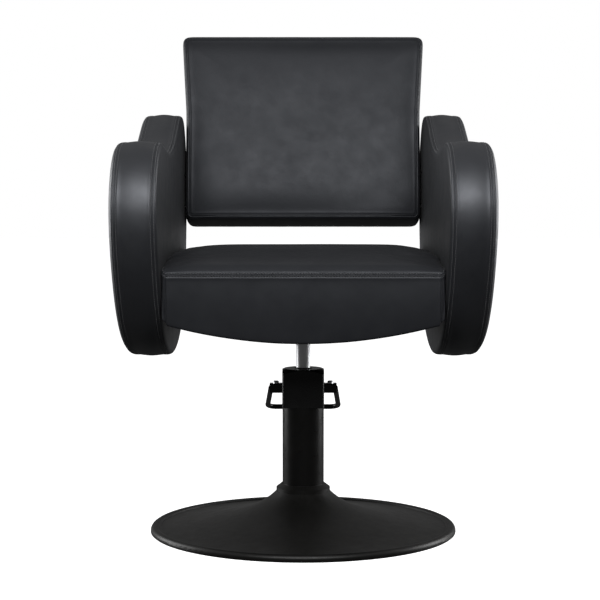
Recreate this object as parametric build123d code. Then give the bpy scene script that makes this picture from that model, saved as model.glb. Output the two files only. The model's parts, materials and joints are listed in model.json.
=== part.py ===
"""Styling chair: upholstered seat, arms and back on a hydraulic column with a round base.

Frame: millimetres, +Z up, the sitter faces -Y. The origin is on the floor, on the column's axis.
Every sub-part is written to parts/NODE.step. The seat's own side is at +X and its mirror at -X.
"""

from build123d import *
import math
import os

# ---------------------------------------------------------------- driving sizes
# Base
BASE_R = 290.0  # outside of the rolled rim
BASE_SHEET = 2.0  # spun steel thickness
RIM_BOTTOM = 2.0  # the rim stands this far above the floor
RIM_TOP = 12.0
RIM_BAND = 19.0  # width of the rolled rim, outside to groove
GROOVE = 2.0  # depth of the groove inside the rim
HUB_TOP = 77.0  # height of the spun cone at the column
BALLAST_R = 255.0
BALLAST_THICK = 6.0
FLOOR_RING_W = 10.0
FLOOR_RING_LIP = 2.0

# Column and pump
COLUMN_WALL = 3.0
ANNULUS = 12.3  # room between the cylinder and the column, for the pump barrel
COLLAR_WALL = 11.7
COLLAR_H = 14.0
HEAD_STEP = 0.2  # the square pump head stands this far proud of the column
HEAD_BOTTOM = 239.0
HEAD_TOP = 311.0
HEAD_EDGE_R = 7.0
HEAD_TURNED_IN = 3.5  # the flat circle left by the turned chamfer is this much smaller than the head
HEAD_TURNED_DROP = 0.43  # drop of the turned chamfer for each mm of radius
CYLINDER_STEP = 7.5  # the pressure cylinder's outside stands out this far from the guide bush
CYLINDER_WALL = 4.0
FLANGE_WIDTH = 22.7  # beyond the column
FLANGE_BOLT_OUT = 10.7  # bolt circle, beyond the column
FLANGE_THICK = 8.0
BOLT_M10 = 5.0
ROD_R = 13.5  # chrome piston rod
SPIGOT_STEP = 4.5  # the rod's spigot inside the piston is this much smaller
BUSH_WALL = 3.0
SEAL_H = 6.0
RUNNING = 0.05  # radial running clearance
GAP = 0.5  # gap between parts that pass each other

# Pedal
SHAFT_R = 5.0
SHAFT_BUSH_WALL = 1.5
SHAFT_Z = 270.0
LUG_LENGTH = 24.0
LUG_SIDE = 18.0
LUG_CLEAR = 0.5  # between the lug and the pump head
SCREW_R = 3.0
SCREW_HEAD_R = 5.6
SCREW_HEAD_H = 5.0
PEDAL_ROD_R = 5.0
PEDAL_REACH = 150.0  # from the shaft to the foot bar
PEDAL_DROP = 56.0
PEDAL_HALF_WIDTH = 71.0  # to the rod's centreline
PEDAL_BEND = 17.0
PLUNGER_R = 3.5
BARREL_WALL = 1.8
PLUNGER_OFFSET = 6.0  # behind the shaft's axis
PLUNGER_LENGTH = 44.0
SPRING_LENGTH = 32.0
SPRING_WIRE_R = 0.5
SPRING_TURNS = 7
FINGER = (8.0, 10.0, 8.0)  # reach from the shaft's axis, width, thickness

# Lift travel, measured from the rest height
LIFT_DOWN = 50.0

# Seat
SEAT_FRONT = -232.0
SEAT_REAR = 215.0
SEAT_BOTTOM_Z = 378.0  # lowest line of the curved underside
BOARD_RAISE = 74.0  # top of the seat board above that line
SEAM_RAISE = 49.0  # front seam above the board
CROWN_RAISE = 38.0  # crown above the seam
SIDE_DROP = 11.0  # sides below the crown
SEAT_BOTTOM_RISE = 35.0  # how much higher the underside is at the sides
SEAT_PAD = 10.0  # padded panels round the seat box
SEAT_CORNER_R = 13.0
SEAT_EDGE_R = 3.0
BOARD_THICK = 15.0
RAIL = 18.0
UNDER_SHEET = 4.0
UNDER_HOLE_GAP = 19.0  # round the socket
PLATE = (200.0, 160.0, 6.0)
PLATE_BOLTS = (160.0, 120.0)
SOCKET_WALL = 12.5
SOCKET_H = 42.0
ROD_IN_SOCKET = 36.0

# Arms
ARM_FRONT = -290.0
ARM_LENGTH = 560.0
ARM_INNER = 254.0  # half the gap between the arms, at the front
ARM_THICK = 84.5  # at the front
ARM_TOE_IN = 1.83  # degrees that the inner face turns inwards towards the back
ARM_TOE_OUT = 2.67  # and the outer face
ARM_PANEL = 11.0  # side panels, outside the seams
ARM_BAND = 18.0  # padding of the band round the edge
ARM_PLY = 12.0
SPACER = 44.0
ARM_DROP = 41.0  # lowest point of an arm below the seat's lowest line
ARM_HEIGHT = 399.0  # from there to the crest
ARM_EDGE_R = 9.0
SIDE_GAP = 1.0  # between an arm and the seat or back

# Back
RECLINE = 14.0
BACK_Y = 180.0  # depth of its front lower edge
BACK_RAISE = 213.0  # front lower edge above the seat's lowest line
BACK_HEIGHT = 375.0
BACK_WAIST = 221.0  # height at which the back leaves the arms and widens
BACK_FLARE = 7.0  # how much wider each side is at the top
BACK_FOAM = 28.0
BACK_FRAME = 54.0
BACK_REAR = 14.0
BACK_BORDER = 9.0
BACK_EDGE_R = 12.0
BACK_PLY = 12.0
BATTEN = 40.0
BACK_BOLTS = (30.0, 95.0)  # heights up the back
BACK_BOLT_IN = 9.0  # behind the foam

# Fasteners
BOLT_M8 = 4.0
BOLT_HEAD_R = 7.0
BOLT_HEAD_H = 5.0
BOLT_GRIP = 20.0  # thread inside an arm's spacer

# ---------------------------------------------------------------- worked-out places
BALLAST_Z = FLOOR_RING_LIP + 0.5
FLANGE_Z = BALLAST_Z + BALLAST_THICK
PUMP_FLOOR = FLANGE_Z + FLANGE_THICK
BUSH_R = ROD_R + BUSH_WALL
CYLINDER_R = BUSH_R + CYLINDER_STEP
COLUMN_BORE_R = CYLINDER_R + ANNULUS
COLUMN_R = COLUMN_BORE_R + COLUMN_WALL
COLLAR_R = COLUMN_R + COLLAR_WALL
HEAD_SIDE = 2 * (COLUMN_R + HEAD_STEP)
FLANGE_R = COLUMN_R + FLANGE_WIDTH
FLANGE_BOLT_R = COLUMN_R + FLANGE_BOLT_OUT
PLUNGER_Y = (CYLINDER_R + COLUMN_BORE_R) / 2
SHAFT_Y = PLUNGER_Y - PLUNGER_OFFSET
SHAFT_BORE_R = SHAFT_R + SHAFT_BUSH_WALL
LUG_START = HEAD_SIDE / 2 + LUG_CLEAR
LUG_END = LUG_START + LUG_LENGTH
PLUNGER_TOP = SHAFT_Z - FINGER[2] / 2 - GAP
ARM_REAR = ARM_FRONT + ARM_LENGTH
ARM_OUTER = ARM_INNER + ARM_THICK
BOARD_TOP = SEAT_BOTTOM_Z + BOARD_RAISE
SEAT_SEAM_Z = BOARD_TOP + SEAM_RAISE
SEAT_CROWN_Z = SEAT_SEAM_Z + CROWN_RAISE
SEAT_SIDE_Z = SEAT_CROWN_Z - SIDE_DROP
BACK_Z = SEAT_BOTTOM_Z + BACK_RAISE
ARM_BOTTOM = SEAT_BOTTOM_Z - ARM_DROP
ARM_TOP = ARM_BOTTOM + ARM_HEIGHT
SOCKET_R = ROD_R + SOCKET_WALL
UNDER_HOLE_R = SOCKET_R + UNDER_HOLE_GAP
SOCKET_TOP = BOARD_TOP - BOARD_THICK - PLATE[2]
ROD_TOP = SOCKET_TOP - SOCKET_H + ROD_IN_SOCKET
HEAD_BORE_TOP = HEAD_TOP - SEAL_H
PISTON_H = 26.0
PISTON_Z = PUMP_FLOOR + LIFT_DOWN + 8.0  # underside of the piston at rest
PIVOT_R = ROD_R - SPIGOT_STEP


# ---------------------------------------------------------------- small helpers
def cyl(radius, low, high, x=0.0, y=0.0):
    """Upright cylinder between two heights."""
    return Pos(x, y, (low + high) / 2) * Cylinder(radius, high - low)


def ring(outer, inner, low, high, x=0.0, y=0.0):
    """Upright tube between two heights."""
    return cyl(outer, low, high, x, y) - cyl(inner, low - 1, high + 1, x, y)


def bar_x(radius, low, high, y=0.0, z=0.0):
    """Cylinder along X between two places."""
    return Pos((low + high) / 2, y, z) * Rot(0, 90, 0) * Cylinder(radius, high - low)


def block(low, high):
    """Box between two corners."""
    size = [b - a for a, b in zip(low, high)]
    centre = [(a + b) / 2 for a, b in zip(low, high)]
    return Pos(*centre) * Box(*size)


def turned(points):
    """Solid of revolution about Z from (radius, height) corners."""
    face = make_face(Polyline(*[(r, 0, z) for r, z in points], close=True))
    return revolve(face, Axis.Z)


def mirrored(shape):
    """The same piece on the other side of the chair."""
    return mirror(shape, about=Plane.YZ)


def write(name, *solids):
    """One node: one STEP file that holds one or more separate solids."""
    found = [s for item in solids for s in item.solids()]
    shape = found[0] if len(found) == 1 else Compound(children=found)
    shape.label = name
    export_step(shape, f"parts/{name}.step")


# ---------------------------------------------------------------- base
def cover_outline(drop):
    """Half outline of the spun cover's surface, lowered by drop: rim, groove, then a trumpet curve."""
    groove_r = BASE_R - RIM_BAND
    rim = BASE_R - drop
    crest = groove_r + 5.0
    top = RIM_TOP - drop
    low = RIM_TOP - GROOVE - drop
    lip = Line((rim, 0, RIM_BOTTOM), (rim, 0, RIM_BOTTOM + 3.0))
    roll = TangentArc(lip @ 1, (crest, 0, top), tangent=(0, 0, 1))
    step_in = Line(roll @ 1, (groove_r + 1.5, 0, top))
    groove = Line(step_in @ 1, (groove_r, 0, low))
    trumpet = Spline(
        (groove_r, 0, low),
        (165.0, 0, 26.0 - drop),
        (COLLAR_R + drop, 0, HUB_TOP - drop),
        tangents=[(-1, 0, 0.06), (-1, 0, 1.05)],
    )
    return [lip, roll, step_in, groove, trumpet]


def base_cover():
    """Spun steel cover: its outer and inner outlines joined at the rim and at the hub."""
    outer = cover_outline(0.0)
    inner = cover_outline(BASE_SHEET)
    hub_r = COLUMN_R + GAP
    top = Line(outer[-1] @ 1, (hub_r, 0, HUB_TOP))
    hub = Line(top @ 1, (hub_r, 0, HUB_TOP - BASE_SHEET))
    under = Line(hub @ 1, inner[-1] @ 1)
    foot = Line(inner[0] @ 0, outer[0] @ 0)
    face = make_face(Wire([*outer, top, hub, under, *inner, foot]))
    return revolve(face, Axis.Z)


def flange_bolt_places():
    """The four bolts that hold the pump to the ballast plate."""
    turns = [math.radians(45 + 90 * i) for i in range(4)]
    return [(FLANGE_BOLT_R * math.cos(a), FLANGE_BOLT_R * math.sin(a)) for a in turns]


def drill(shape, places, radius, low, high):
    """Upright holes through a shape."""
    for x, y in places:
        shape -= cyl(radius, low - 1, high + 1, x, y)
    return shape


def ballast_plate():
    plate = cyl(BALLAST_R, BALLAST_Z, FLANGE_Z)
    return drill(plate, flange_bolt_places(), BOLT_M10, BALLAST_Z, FLANGE_Z)


def floor_ring():
    """Rubber ring under the rim that meets the floor."""
    outer = BASE_R - BASE_SHEET - GAP
    return turned(
        [
            (outer, 0.0),
            (outer, RIM_BOTTOM + 3.0),
            (outer - FLOOR_RING_W, RIM_BOTTOM + 3.0),
            (outer - FLOOR_RING_W - 4.0, 0.0),
        ]
    )


def base_bolts():
    """M10 bolts, heads above the flange, screwed into the ballast plate."""
    bolts = []
    for x, y in flange_bolt_places():
        head = Pos(x, y, PUMP_FLOOR) * extrude(RegularPolygon(8.5, 6), 6.4)
        bolts.append(head + cyl(BOLT_M10, BALLAST_Z, PUMP_FLOOR + 1, x, y))
    return bolts


# ---------------------------------------------------------------- column and pump
def pump_flange():
    plate = cyl(FLANGE_R, FLANGE_Z, PUMP_FLOOR)
    return drill(plate, flange_bolt_places(), BOLT_M10, FLANGE_Z, PUMP_FLOOR)


def column_tube():
    return ring(COLUMN_R, COLUMN_BORE_R, PUMP_FLOOR, HEAD_BOTTOM)


def column_collar():
    """Trim ring that hides the hole in the cover."""
    bore = COLUMN_R + RUNNING
    return turned(
        [
            (bore, HUB_TOP),
            (COLLAR_R, HUB_TOP),
            (COLLAR_R, HUB_TOP + COLLAR_H / 2),
            (bore + 2.5, HUB_TOP + COLLAR_H),
            (bore, HUB_TOP + COLLAR_H),
        ]
    )


def pressure_cylinder():
    return ring(CYLINDER_R, CYLINDER_R - CYLINDER_WALL, PUMP_FLOOR, HEAD_BOTTOM)


def pump_head():
    """Square block with a turned top, bored for the rod, the pedal shaft and the plunger."""
    half = HEAD_SIDE / 2
    body = block((-half, -half, HEAD_BOTTOM), (half, half, HEAD_TOP))
    body = fillet(body.edges().filter_by(Axis.Z), HEAD_EDGE_R)
    reach = HEAD_SIDE
    turned_r = half - HEAD_TURNED_IN
    cone = turned(
        [
            (0.0, HEAD_BOTTOM - reach),
            (reach, HEAD_BOTTOM - reach),
            (reach, HEAD_TOP - (reach - turned_r) * HEAD_TURNED_DROP),
            (turned_r, HEAD_TOP),
            (0.0, HEAD_TOP),
        ]
    )
    body &= cone
    body -= cyl(BUSH_R, HEAD_BOTTOM - 1, HEAD_TOP + 1)
    body -= bar_x(SHAFT_BORE_R, -half - 1, half + 1, SHAFT_Y, SHAFT_Z)
    body -= finger_pocket()
    return body - cyl(PLUNGER_R + RUNNING, HEAD_BOTTOM - 1, SHAFT_Z, 0.0, PLUNGER_Y)


def finger_pocket():
    """Hollow in the head where the shaft's finger swings."""
    swing = math.hypot(FINGER[0], FINGER[2] / 2) + 1.5
    half = FINGER[1] / 2 + 1.5
    low = (-half, SHAFT_Y - SHAFT_R - GAP, SHAFT_Z - swing)
    return block(low, (half, SHAFT_Y + swing, SHAFT_Z + swing))


def guide_bush():
    return ring(BUSH_R, ROD_R + RUNNING, HEAD_BOTTOM, HEAD_BORE_TOP)


def wiper_seal():
    return ring(BUSH_R, ROD_R + RUNNING, HEAD_BORE_TOP, HEAD_TOP + 1.5)


def shaft_bushes():
    """Two brass sleeves in which the pedal shaft turns."""
    low, high = FINGER[1] / 2 + 1.5, HEAD_SIDE / 2
    sleeve = bar_x(SHAFT_BORE_R, low, high, SHAFT_Y, SHAFT_Z)
    sleeve -= bar_x(SHAFT_R + RUNNING, low - 1, high + 1, SHAFT_Y, SHAFT_Z)
    return [sleeve, mirrored(sleeve)]


# ---------------------------------------------------------------- pedal
def lever_shaft():
    """Cross shaft with the finger that presses the plunger."""
    shaft = bar_x(SHAFT_R, -LUG_END, LUG_END, SHAFT_Y, SHAFT_Z)
    reach, wide, thick = FINGER
    low = (-wide / 2, SHAFT_Y, SHAFT_Z - thick / 2)
    return shaft + block(low, (wide / 2, SHAFT_Y + reach, SHAFT_Z + thick / 2))


def pedal_lugs():
    """Blocks clamped on the shaft's ends, drilled for the foot bar and the clamp screws."""
    half = LUG_SIDE / 2
    low = (LUG_START, SHAFT_Y - half, SHAFT_Z - half)
    high = (LUG_END, SHAFT_Y + half + PEDAL_ROD_R, SHAFT_Z + half)
    lug = fillet(block(low, high).edges().filter_by(Axis.X), 3.0)
    lug -= bar_x(SHAFT_R, LUG_START - 1, LUG_END + 1, SHAFT_Y, SHAFT_Z)
    lug -= lug_screw()
    lug -= pedal_bar()
    return [lug, mirrored(lug)]


def pedal_points():
    """Centreline corners of one half of the foot bar, from the lug to the middle of the bar."""
    start_x = LUG_END - PEDAL_ROD_R / 2
    start_y = SHAFT_Y + SHAFT_R + PEDAL_ROD_R + GAP
    end_y = SHAFT_Y + PEDAL_REACH
    end_z = SHAFT_Z - PEDAL_DROP
    return (start_x, start_y, SHAFT_Z), (PEDAL_HALF_WIDTH, end_y, end_z), (0.0, end_y, end_z)


def pedal_bar():
    """Round bar bent to a wide U behind the column."""
    start, corner, middle = pedal_points()
    other_corner = (-corner[0], corner[1], corner[2])
    other_start = (-start[0], start[1], start[2])
    path = FilletPolyline(start, corner, other_corner, other_start, radius=PEDAL_BEND)
    section = Plane(origin=path @ 0, z_dir=path % 0) * Circle(PEDAL_ROD_R)
    return sweep(section, path=path)


def lug_screw():
    """Hexagon screw at +X that clamps a lug on the shaft."""
    top = SHAFT_Z + LUG_SIDE / 2
    x = (LUG_START + LUG_END) / 2
    screw = Pos(x, SHAFT_Y, top) * extrude(RegularPolygon(SCREW_HEAD_R, 6), SCREW_HEAD_H)
    screw = chamfer(screw.edges().group_by(Axis.Z)[-1], 1.0)
    return screw + cyl(SCREW_R, SHAFT_Z + SHAFT_R, top + 0.5, x, SHAFT_Y)


def pump_plunger():
    return cyl(PLUNGER_R, PLUNGER_TOP - PLUNGER_LENGTH, PLUNGER_TOP, 0.0, PLUNGER_Y)


def pump_barrel():
    """Closed tube under the head in which the plunger and its spring work."""
    outer = PLUNGER_R + RUNNING + BARREL_WALL
    low = PLUNGER_TOP - PLUNGER_LENGTH - SPRING_LENGTH
    body = cyl(outer, low - BARREL_WALL, HEAD_BOTTOM, 0.0, PLUNGER_Y)
    return body - cyl(PLUNGER_R + RUNNING, low, HEAD_BOTTOM + 1, 0.0, PLUNGER_Y)


def plunger_spring():
    """Return spring between the barrel's floor and the plunger."""
    coil_r = PLUNGER_R - SPRING_WIRE_R - 0.2
    height = SPRING_LENGTH - 2 * SPRING_WIRE_R - 0.2
    path = Helix(height / SPRING_TURNS, height, coil_r)
    section = Plane(origin=path @ 0, z_dir=path % 0) * Circle(SPRING_WIRE_R)
    low = PLUNGER_TOP - PLUNGER_LENGTH - SPRING_LENGTH + SPRING_WIRE_R + 0.1
    return Pos(0, PLUNGER_Y, low) * sweep(section, path=path, is_frenet=True)


# ---------------------------------------------------------------- piston
def piston_head():
    """Slides in the cylinder. The rod's spigot turns in it."""
    radius = CYLINDER_R - CYLINDER_WALL - RUNNING
    body = cyl(radius, PISTON_Z, PISTON_Z + PISTON_H)
    body -= cyl(PIVOT_R + RUNNING, PISTON_Z - 1, PISTON_Z + PISTON_H + 1)
    body -= cyl(PIVOT_R + 4.0, PISTON_Z - 1, PISTON_Z + 5.0)
    for low in seal_heights():
        body -= ring(radius + 5, radius - 3.0, low, low + 4.0)
    return body


def seal_heights():
    return (PISTON_Z + 7.0, PISTON_Z + 16.0)


def piston_seals():
    radius = CYLINDER_R - CYLINDER_WALL - RUNNING
    return [ring(radius, radius - 3.0, low, low + 4.0) for low in seal_heights()]


def piston_rod():
    """Chromed rod with a spigot at its foot."""
    rod = cyl(ROD_R, PISTON_Z + PISTON_H, ROD_TOP)
    rod = chamfer(rod.edges().group_by(Axis.Z)[-1], 1.5)
    return rod + cyl(PIVOT_R, PISTON_Z + 1.0, PISTON_Z + PISTON_H + 1)


def rod_retaining_ring():
    return ring(PIVOT_R + 3.0, PIVOT_R, PISTON_Z + 2.0, PISTON_Z + 4.5)


# ---------------------------------------------------------------- seat
def inner_plane(offset=0.0):
    """Upright plane beside an arm's inner face, moved outwards by offset: (x at the front, turn)."""
    return ARM_INNER + offset, ARM_TOE_IN


def outer_plane(offset=0.0):
    """The same beside an arm's outer face."""
    return ARM_OUTER + offset, ARM_TOE_OUT


def plane_x(plane, y):
    """Where such a plane is at a depth."""
    return plane[0] - (y - ARM_FRONT) * math.tan(math.radians(plane[1]))


def between(left, right, front, rear, low, high):
    """Upright block between two of those planes."""
    corners = [(plane_x(p, y), y) for p, y in ((left, front), (right, front), (right, rear), (left, rear))]
    face = make_face(Polyline(*corners, close=True))
    return Pos(0, 0, low) * extrude(face, high - low)


def seat_plan(inset, low, high, front, rear):
    """Upright trapezium between the arms, drawn in from them by inset."""
    half = between((0.0, 0.0), inner_plane(-inset), front, rear, low, high)
    return half + mirrored(half)


def seat_front_outline(inset, top, rise=0.0):
    """Seat section seen from the front: straight sides and an arched underside, drawn in by inset."""
    half = plane_x(inner_plane(-SIDE_GAP - inset), SEAT_FRONT)
    side_z = SEAT_BOTTOM_Z + SEAT_BOTTOM_RISE + rise
    bottom = ThreePointArc(
        (-half, 0, side_z), (0, 0, SEAT_BOTTOM_Z + rise), (half, 0, side_z)
    )
    sides = Polyline((half, 0, side_z), (half, 0, top), (-half, 0, top), (-half, 0, side_z))
    return make_face(Wire([bottom, *sides.edges()]))


def along_y(face, front, rear):
    """Extrudes a face that lies in XZ from front to rear."""
    return extrude(Pos(0, front, 0) * face, rear - front, dir=(0, 1, 0))


def seat_front_panel():
    """Padded front of the seat box, from the curved bottom edge to the seam."""
    panel = along_y(seat_front_outline(0.0, SEAT_SEAM_Z), SEAT_FRONT, SEAT_FRONT + SEAT_PAD)
    low = [e for e in panel.edges().filter_by(Axis.Y) if e.center().Z < SEAT_SEAM_Z - 1]
    panel = fillet(low, SEAT_CORNER_R)
    return fillet(panel.edges().group_by(Axis.Y)[0], SEAT_EDGE_R)


def seat_cushion():
    """Crowned top: a side section and a front section, each drawn along the other's direction."""
    front_in = SEAT_FRONT + SEAT_PAD
    rear = SEAT_REAR - SEAT_PAD / 2
    rear_z = SEAT_CROWN_Z - 4
    base = Polyline(
        (0, SEAT_FRONT + 1, SEAT_SEAM_Z),
        (0, front_in, SEAT_SEAM_Z),
        (0, front_in, BOARD_TOP),
        (0, rear, BOARD_TOP),
        (0, rear, rear_z),
    )
    crown = Spline(
        (0, SEAT_FRONT + 1, SEAT_SEAM_Z),
        (0, SEAT_FRONT + 28, SEAT_SEAM_Z + 24),
        (0, SEAT_FRONT + 130, SEAT_CROWN_Z - 6),
        (0, rear, rear_z),
        tangents=[(0, 0.1, 1), (0, 1, -0.02)],
    )
    wide = 2 * ARM_INNER
    side = make_face(Wire([*base.edges(), crown]))
    solid = extrude(Pos(-wide / 2, 0, 0) * side, wide, dir=(1, 0, 0))
    half = plane_x(inner_plane(), SEAT_FRONT)
    edge = SEAT_SIDE_Z - 8
    across = Spline(
        (half, 0, edge),
        (half - 30, 0, SEAT_SIDE_Z + 3),
        (0, 0, SEAT_CROWN_Z + 2),
        (30 - half, 0, SEAT_SIDE_Z + 3),
        (-half, 0, edge),
    )
    under = Polyline((-half, 0, edge), (-half, 0, BOARD_TOP), (half, 0, BOARD_TOP), (half, 0, edge))
    section = along_y(make_face(Wire([across, *under.edges()])), SEAT_FRONT, SEAT_REAR)
    plan = seat_plan(SIDE_GAP, BOARD_TOP, SEAT_CROWN_Z + 5, SEAT_FRONT, SEAT_REAR)
    return solid & section & plan


def seat_board():
    inset = SIDE_GAP + SEAT_PAD
    board = seat_plan(inset, BOARD_TOP - BOARD_THICK, BOARD_TOP, SEAT_FRONT + SEAT_PAD, SEAT_REAR - SEAT_PAD)
    return drill(board, plate_bolt_places(), BOLT_M8, BOARD_TOP - BOARD_THICK, BOARD_TOP)


def plate_bolt_places():
    x, y = PLATE_BOLTS[0] / 2, PLATE_BOLTS[1] / 2
    return [(sx * x, sy * y) for sx in (-1, 1) for sy in (-1, 1)]


def seat_rail(front):
    """Front or rear rail of the seat box, cut to the arched underside."""
    inset = SEAT_PAD
    face = seat_front_outline(inset, BOARD_TOP - BOARD_THICK, UNDER_SHEET)
    rail = along_y(face, front, front + RAIL)
    return rail & seat_plan(SIDE_GAP + SEAT_PAD, 0, BOARD_TOP, front, front + RAIL)


def front_rail_y():
    return SEAT_FRONT + SEAT_PAD


def rear_rail_y():
    return SEAT_REAR - SEAT_PAD - RAIL


def side_rail():
    """Side rail at +X, parallel to the arm, between the front and rear rails."""
    outer = -SIDE_GAP - SEAT_PAD
    low = SEAT_BOTTOM_Z + SEAT_BOTTOM_RISE + UNDER_SHEET + 2
    front = front_rail_y() + RAIL + GAP
    rear = rear_rail_y() - GAP
    rail = between(inner_plane(outer - RAIL), inner_plane(outer), front, rear, low, BOARD_TOP - BOARD_THICK)
    return arm_bolt_holes(rail)


def seat_side_panel():
    """Padded side of the seat box, against the arm."""
    low = SEAT_BOTTOM_Z + SEAT_BOTTOM_RISE + SEAT_CORNER_R
    outer = inner_plane(-SIDE_GAP)
    front, rear = SEAT_FRONT + SEAT_PAD + GAP, SEAT_REAR - SEAT_PAD / 2
    return arm_bolt_holes(between(inner_plane(-SIDE_GAP - SEAT_PAD), outer, front, rear, low, BOARD_TOP))


def arm_bolt_holes(shape):
    """Holes along X for the bolts between the seat and an arm."""
    for y, z in arm_bolt_places():
        shape -= bar_x(BOLT_M8, 0.0, ARM_OUTER - ARM_PANEL - ARM_PLY / 2, y, z)
    return shape


def seat_rear_panel():
    front = SEAT_REAR - SEAT_PAD
    panel = along_y(seat_front_outline(SEAT_PAD, BOARD_TOP), front, SEAT_REAR)
    return panel & seat_plan(SIDE_GAP + SEAT_PAD + GAP, 0, BOARD_TOP, front, SEAT_REAR)


def underseat_cover():
    """Thin arched sheet that closes the seat box, open round the piston rod."""
    inset = SEAT_PAD
    outer = along_y(
        seat_front_outline(inset, BOARD_TOP), front_rail_y(), SEAT_REAR - SEAT_PAD
    )
    inner = along_y(
        seat_front_outline(0.0, BOARD_TOP + 1, UNDER_SHEET), front_rail_y() - 1, SEAT_REAR
    )
    sheet = outer - inner
    sheet &= seat_plan(SIDE_GAP + SEAT_PAD, 0, BOARD_TOP, front_rail_y(), SEAT_REAR - SEAT_PAD)
    return sheet - cyl(UNDER_HOLE_R, 0, BOARD_TOP)


def mounting_plate():
    """Steel plate with a socket for the rod, bolted up to the seat board."""
    top = BOARD_TOP - BOARD_THICK
    low = top - PLATE[2]
    body = block((-PLATE[0] / 2, -PLATE[1] / 2, low), (PLATE[0] / 2, PLATE[1] / 2, top))
    body = fillet(body.edges().filter_by(Axis.Z), 12.0)
    body += cyl(SOCKET_R, low - SOCKET_H, low + 1)
    body -= cyl(ROD_R, low - SOCKET_H - 1, ROD_TOP)
    return drill(body, plate_bolt_places(), BOLT_M8, low, top)


def mounting_bolts():
    """M8 bolts from below into the seat board."""
    low = BOARD_TOP - BOARD_THICK - PLATE[2]
    bolts = []
    for x, y in plate_bolt_places():
        head = Pos(x, y, low - BOLT_HEAD_H) * extrude(RegularPolygon(BOLT_HEAD_R, 6), BOLT_HEAD_H)
        bolts.append(head + cyl(BOLT_M8, low - 1, BOARD_TOP - 1, x, y))
    return bolts


# ---------------------------------------------------------------- arms
def arm_outline(inset):
    """Closed side outline of an arm, drawn in by inset: points joined by one smooth curve."""
    a, b = ARM_FRONT, ARM_REAR
    low, top = ARM_BOTTOM, ARM_TOP
    points = [
        (a + 125, top, 0.0, 1.0),  # crest where the forearm rests
        (a + 38, top - 30, -0.62, 0.78),
        (a, top - 102, -1.0, 0.0),  # nose
        (a + 22, low + 177, -0.95, -0.31),
        (a + 112, low + 57, -0.7, -0.71),
        (a + 275, low, 0.0, -1.0),  # lowest point
        (b - 120, low + 32, 0.5, -0.87),
        (b - 30, low + 115, 0.9, -0.43),
        (b, low + 223, 1.0, 0.0),  # back edge
        (b - 12, top + 14, 0.94, 0.34),
        (b - 62, top + 57, 0.0, 1.0),  # rear top, beside the back
        (b - 125, top + 43, -0.48, 0.88),
        (b - 200, top + 5, -0.4, 0.92),
        (a + 245, top - 16, 0.0, 1.0),  # dip between the forearm and the back
    ]
    return Spline(*[(0, y - inset * ny, z - inset * nz) for y, z, ny, nz in points], periodic=True)


def arm_slice(inset, left, right):
    """Slice of an arm between two upright planes, its outline drawn in by inset."""
    prism = extrude(make_face(Wire([arm_outline(inset)])), ARM_OUTER + 10, dir=(1, 0, 0))
    return prism & between(left, right, ARM_FRONT - 10, ARM_REAR + 10, 0, ARM_TOP + ARM_HEIGHT)


def arm_bolt_places():
    """(y, z) of the bolts that hold an arm to the seat's side rail."""
    z = (SEAT_BOTTOM_Z + SEAT_BOTTOM_RISE + UNDER_SHEET + 2 + BOARD_TOP - BOARD_THICK) / 2
    front, rear = front_rail_y() + RAIL, rear_rail_y()
    return [(front + share * (rear - front), z) for share in (0.12, 0.5, 0.88)]


def back_bolt_places():
    """(y, z) of the studs that hold an arm to the back's batten."""
    tilt = math.radians(RECLINE)
    middle = BACK_FOAM + BACK_BOLT_IN
    places = []
    for height in BACK_BOLTS:
        y = BACK_Y + height * math.sin(tilt) + middle * math.cos(tilt)
        z = BACK_Z + height * math.cos(tilt) - middle * math.sin(tilt)
        places.append((y, z))
    return places


def stud_holes(shape):
    """Holes along X for the studs between the back and an arm."""
    for y, z in back_bolt_places():
        shape -= bar_x(BOLT_M8, 0.0, ARM_OUTER - ARM_PANEL - ARM_PLY / 2 - 10, y, z)
    return shape


def arm_panel(plane, thick):
    """Padded side panel that stands on an upright plane, with its free edge rounded."""
    face = Pos(0, -ARM_FRONT, 0) * make_face(Wire([arm_outline(0.0)]))
    slab = extrude(face, abs(thick), dir=(math.copysign(1.0, thick), 0, 0))
    free = slab.edges().group_by(Axis.X)[-1 if thick > 0 else 0]
    return Pos(plane[0], ARM_FRONT, 0) * Rot(0, 0, plane[1]) * fillet(free, ARM_EDGE_R)


def arm_inner_panel():
    panel = arm_panel(inner_plane(ARM_PANEL), -ARM_PANEL)
    return stud_holes(arm_bolt_holes(panel))


def arm_outer_panel():
    return arm_panel(outer_plane(-ARM_PANEL), ARM_PANEL)


def arm_band():
    """Padded band between the two panels, all the way round the edge."""
    left, right = inner_plane(ARM_PANEL), outer_plane(-ARM_PANEL)
    return arm_slice(0.0, left, right) - arm_slice(ARM_BAND, inner_plane(), outer_plane())


def arm_frame():
    """Two plywood cheeks with spacer blocks where the bolts go."""
    inside, outside = ARM_PANEL + ARM_PLY, -ARM_PANEL - ARM_PLY
    near = arm_slice(ARM_BAND, inner_plane(ARM_PANEL), inner_plane(inside))
    far = arm_slice(ARM_BAND, outer_plane(outside), outer_plane(-ARM_PANEL))
    core = arm_slice(ARM_BAND, inner_plane(inside), outer_plane(outside))
    pieces = [stud_holes(arm_bolt_holes(near)), far]
    for y, z in arm_bolt_places() + back_bolt_places():
        low = (0.0, y - SPACER / 2, z - SPACER / 2)
        spacer = core & block(low, (ARM_OUTER, y + SPACER / 2, z + SPACER / 2))
        pieces.append(stud_holes(arm_bolt_holes(spacer)))
    return pieces


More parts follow.
